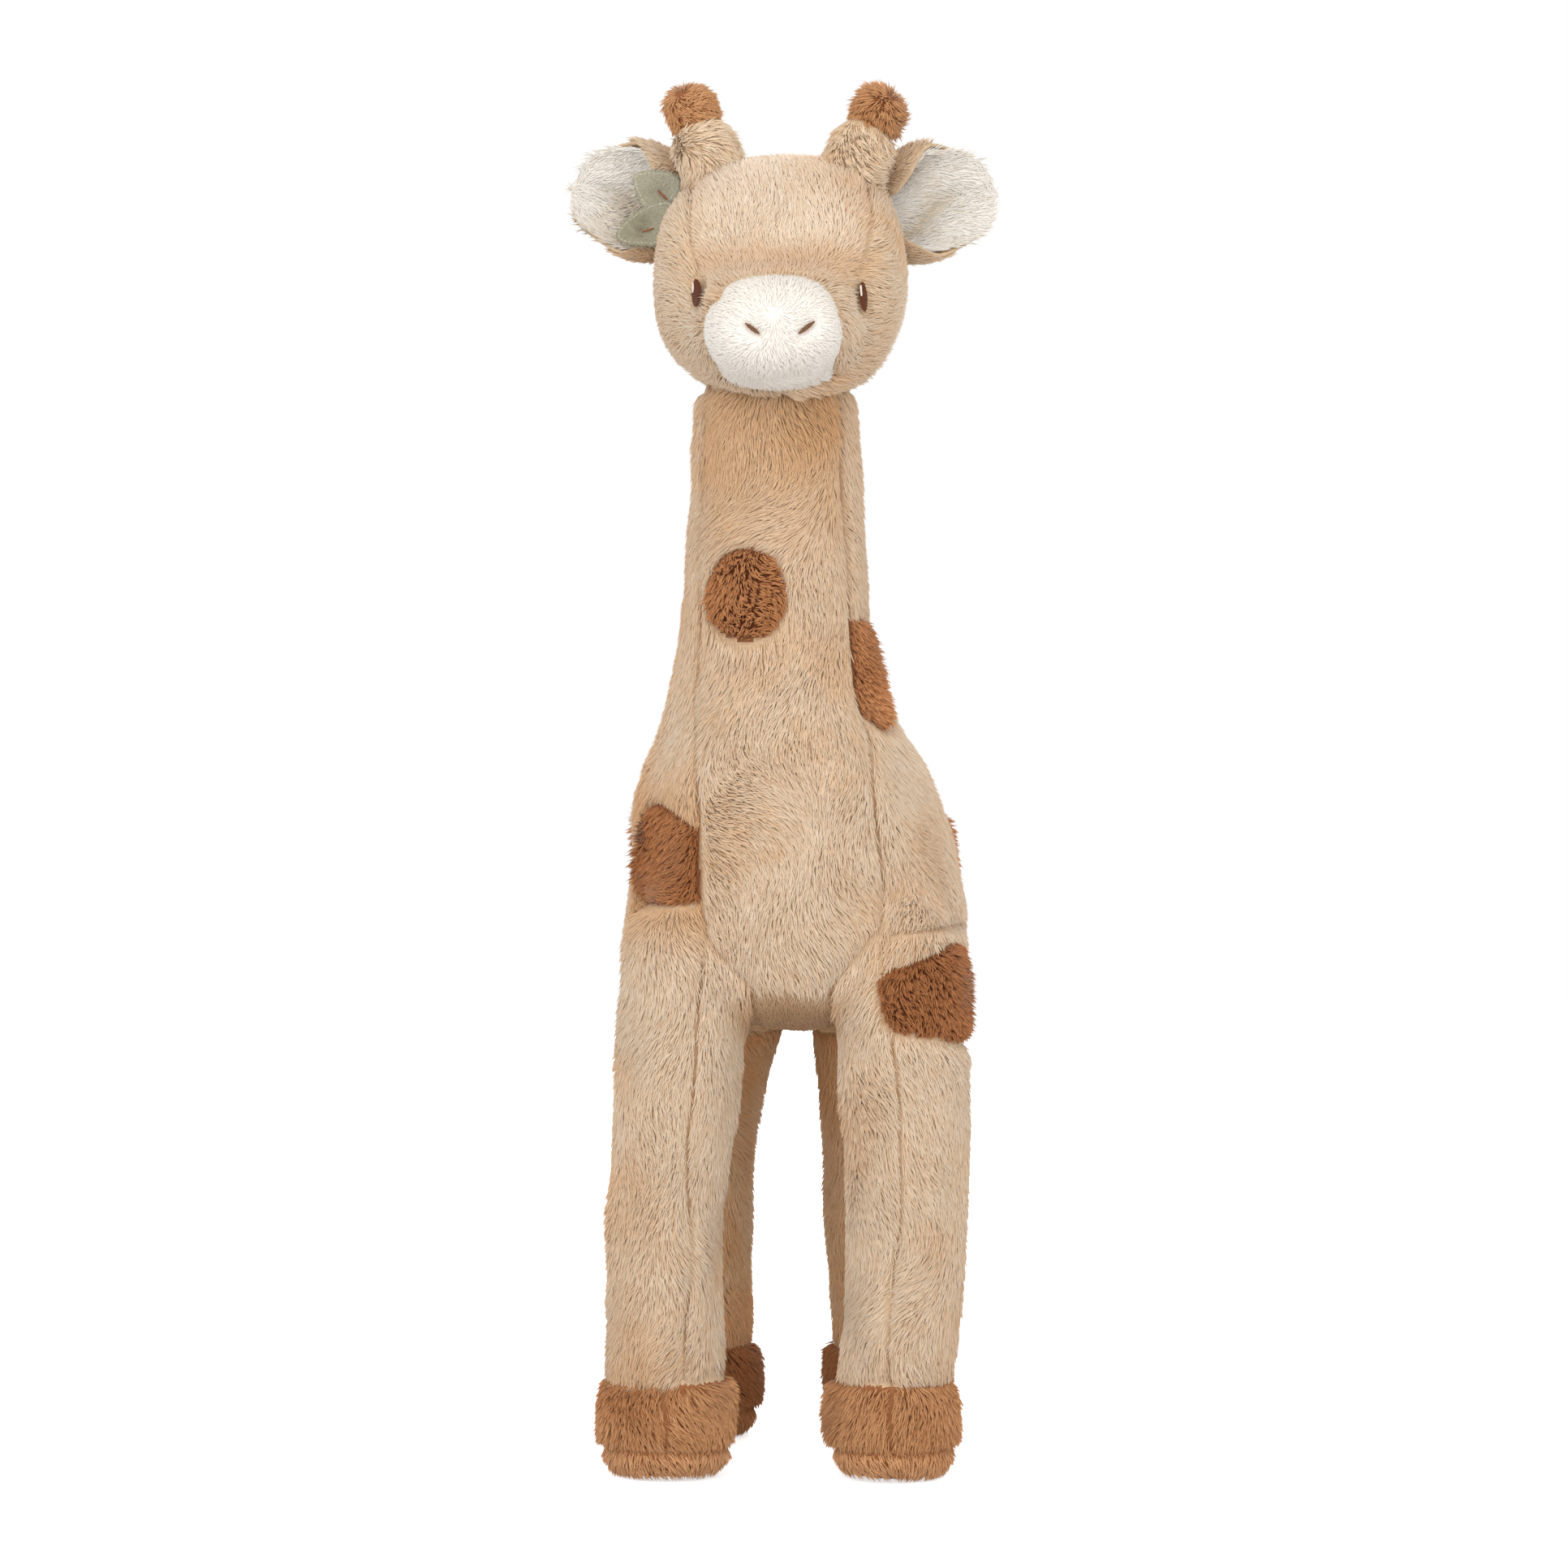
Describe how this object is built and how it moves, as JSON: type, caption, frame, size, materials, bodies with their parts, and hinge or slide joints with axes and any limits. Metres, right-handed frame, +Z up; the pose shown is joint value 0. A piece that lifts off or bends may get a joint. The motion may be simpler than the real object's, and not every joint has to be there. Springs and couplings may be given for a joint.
{
  "type": "plush giraffe",
  "caption": "Standing plush giraffe with sewn panels, inset spots, stuffed neck, head and legs, folding ears, soft ossicones, felt leaves and a swinging tail.",
  "frame": {"origin": "on the floor under the middle of the toy's bounding box", "axes": "+Z up, the toy faces -Y, and its own left side is +X"},
  "size_m": [0.1474, 0.2224, 0.5057],
  "materials": {
    "tan_plush": "brushed tan plush with 4 to 6 mm pile, nap running downwards",
    "pale_plush": "paler tan plush of the forehead gusset",
    "brown_plush": "brown plush of the inset spots, the ossicones' tips and the tail's tuft",
    "hoof_plush": "light brown plush of the hooves and soles",
    "white_plush": "short off-white plush of the muzzle and the ears' linings",
    "green_felt": "grey-green pressed wool felt, 1.2 mm, stitched round its edge",
    "brown_thread": "dark brown rayon satin stitch",
    "white_thread": "white rayon satin stitch",
    "fibre_filling": "loose white polyester fibre"
  },
  "bodies": {
    "torso": {"chest_panel": "tan_plush", "belly_panel": "tan_plush", "body_left_panel": "tan_plush", "body_right_panel": "tan_plush", "body_left_flank_spot": "brown_plush", "body_left_rump_spot": "brown_plush", "body_right_shoulder_spot": "brown_plush", "body_right_flank_spot": "brown_plush", "body_filling": "fibre_filling"},
    "neck": {"neck_throat_panel": "tan_plush", "neck_left_panel": "tan_plush", "neck_right_panel": "tan_plush", "neck_throat_spot": "brown_plush", "neck_left_spot": "brown_plush", "neck_right_spot": "brown_plush", "neck_filling": "fibre_filling"},
    "head": {"muzzle": "white_plush", "forehead_gusset": "pale_plush", "head_left_panel": "tan_plush", "head_right_panel": "tan_plush", "head_filling": "fibre_filling", "eye_left": "brown_thread", "eye_right": "brown_thread", "eye_left_highlight": "white_thread", "eye_right_highlight": "white_thread", "nostril_left": "brown_thread", "nostril_right": "brown_thread"},
    "front_left_leg": {"front_left_leg_cover": "tan_plush", "front_left_hoof": "hoof_plush", "front_left_sole": "hoof_plush", "front_left_leg_filling": "fibre_filling", "front_left_leg_spot": "brown_plush"},
    "front_right_leg": {"front_right_leg_cover": "tan_plush", "front_right_hoof": "hoof_plush", "front_right_sole": "hoof_plush", "front_right_leg_filling": "fibre_filling"},
    "rear_left_leg": {"rear_left_leg_cover": "tan_plush", "rear_left_hoof": "hoof_plush", "rear_left_sole": "hoof_plush", "rear_left_leg_filling": "fibre_filling"},
    "rear_right_leg": {"rear_right_leg_cover": "tan_plush", "rear_right_hoof": "hoof_plush", "rear_right_sole": "hoof_plush", "rear_right_leg_filling": "fibre_filling", "rear_right_leg_spot": "brown_plush"},
    "tail": {"tail": "tan_plush", "tail_tuft": "brown_plush"},
    "ossicone_left": {"ossicone_left_sleeve": "tan_plush", "ossicone_left_tip": "brown_plush", "ossicone_left_filling": "fibre_filling"},
    "ear_left": {"ear_left_back": "tan_plush", "ear_left_lining": "white_plush"},
    "ossicone_right": {"ossicone_right_sleeve": "tan_plush", "ossicone_right_tip": "brown_plush", "ossicone_right_filling": "fibre_filling"},
    "ear_right": {"ear_right_back": "tan_plush", "ear_right_lining": "white_plush"},
    "leaf_upper": {"leaf_upper": "green_felt"},
    "leaf_lower": {"leaf_lower": "green_felt"}
  },
  "joints": [
    {"name": "neck_bend", "type": "hinge", "parent": "torso", "child": "neck", "pos_m": [0, -0.01525, 0.256], "axis": [1, 0, 0], "range_deg": [-12, 15], "stiffness_Nm_per_rad": 3},
    {"name": "head_turn", "type": "hinge", "parent": "neck", "child": "head", "pos_m": [0, -0.02925, 0.38], "axis": [0, 0, 1], "range_deg": [-25, 25], "stiffness_Nm_per_rad": 0.6},
    {"name": "front_left_leg_swing", "type": "hinge", "parent": "torso", "child": "front_left_leg", "pos_m": [0.041, -0.04125, 0.188], "axis": [1, 0, 0], "range_deg": [-22, 8], "stiffness_Nm_per_rad": 3},
    {"name": "front_right_leg_swing", "type": "hinge", "parent": "torso", "child": "front_right_leg", "pos_m": [-0.041, -0.04125, 0.188], "axis": [1, 0, 0], "range_deg": [-22, 8], "stiffness_Nm_per_rad": 3},
    {"name": "rear_left_leg_swing", "type": "hinge", "parent": "torso", "child": "rear_left_leg", "pos_m": [0.041, 0.06675, 0.188], "axis": [1, 0, 0], "range_deg": [-8, 22], "stiffness_Nm_per_rad": 3},
    {"name": "rear_right_leg_swing", "type": "hinge", "parent": "torso", "child": "rear_right_leg", "pos_m": [-0.041, 0.06675, 0.188], "axis": [1, 0, 0], "range_deg": [-8, 22], "stiffness_Nm_per_rad": 3},
    {"name": "tail_swing", "type": "hinge", "parent": "torso", "child": "tail", "pos_m": [0, 0.09875, 0.234], "axis": [0, 1, 0], "range_deg": [-30, 30]},
    {"name": "ossicone_left_flex", "type": "hinge", "parent": "head", "child": "ossicone_left", "pos_m": [0.0225, -0.03725, 0.466], "axis": [0.9205, 0, -0.3907], "range_deg": [-15, 15], "stiffness_Nm_per_rad": 0.1},
    {"name": "ossicone_right_flex", "type": "hinge", "parent": "head", "child": "ossicone_right", "pos_m": [-0.0225, -0.03725, 0.466], "axis": [0.9205, 0, 0.3907], "range_deg": [-15, 15], "stiffness_Nm_per_rad": 0.1},
    {"name": "ear_left_fold", "type": "hinge", "parent": "head", "child": "ear_left", "pos_m": [0.03718, -0.02325, 0.462], "axis": [-0.153, -0.0325, 0.9877], "range_deg": [-15, 25], "stiffness_Nm_per_rad": 0.05},
    {"name": "ear_right_fold", "type": "hinge", "parent": "head", "child": "ear_right", "pos_m": [-0.03718, -0.02325, 0.462], "axis": [-0.153, 0.0325, -0.9877], "range_deg": [-15, 25], "stiffness_Nm_per_rad": 0.05},
    {"name": "leaf_upper_lift", "type": "hinge", "parent": "ear_right", "child": "leaf_upper", "pos_m": [-0.03867, -0.02263, 0.46731], "axis": [0.7154, -0.1521, 0.682], "range_deg": [0, 35], "stiffness_Nm_per_rad": 0.005},
    {"name": "leaf_lower_lift", "type": "hinge", "parent": "ear_right", "child": "leaf_lower", "pos_m": [-0.0402, -0.02231, 0.45744], "axis": [-0.4134, 0.0879, 0.9063], "range_deg": [0, 35], "stiffness_Nm_per_rad": 0.005}
  ]
}
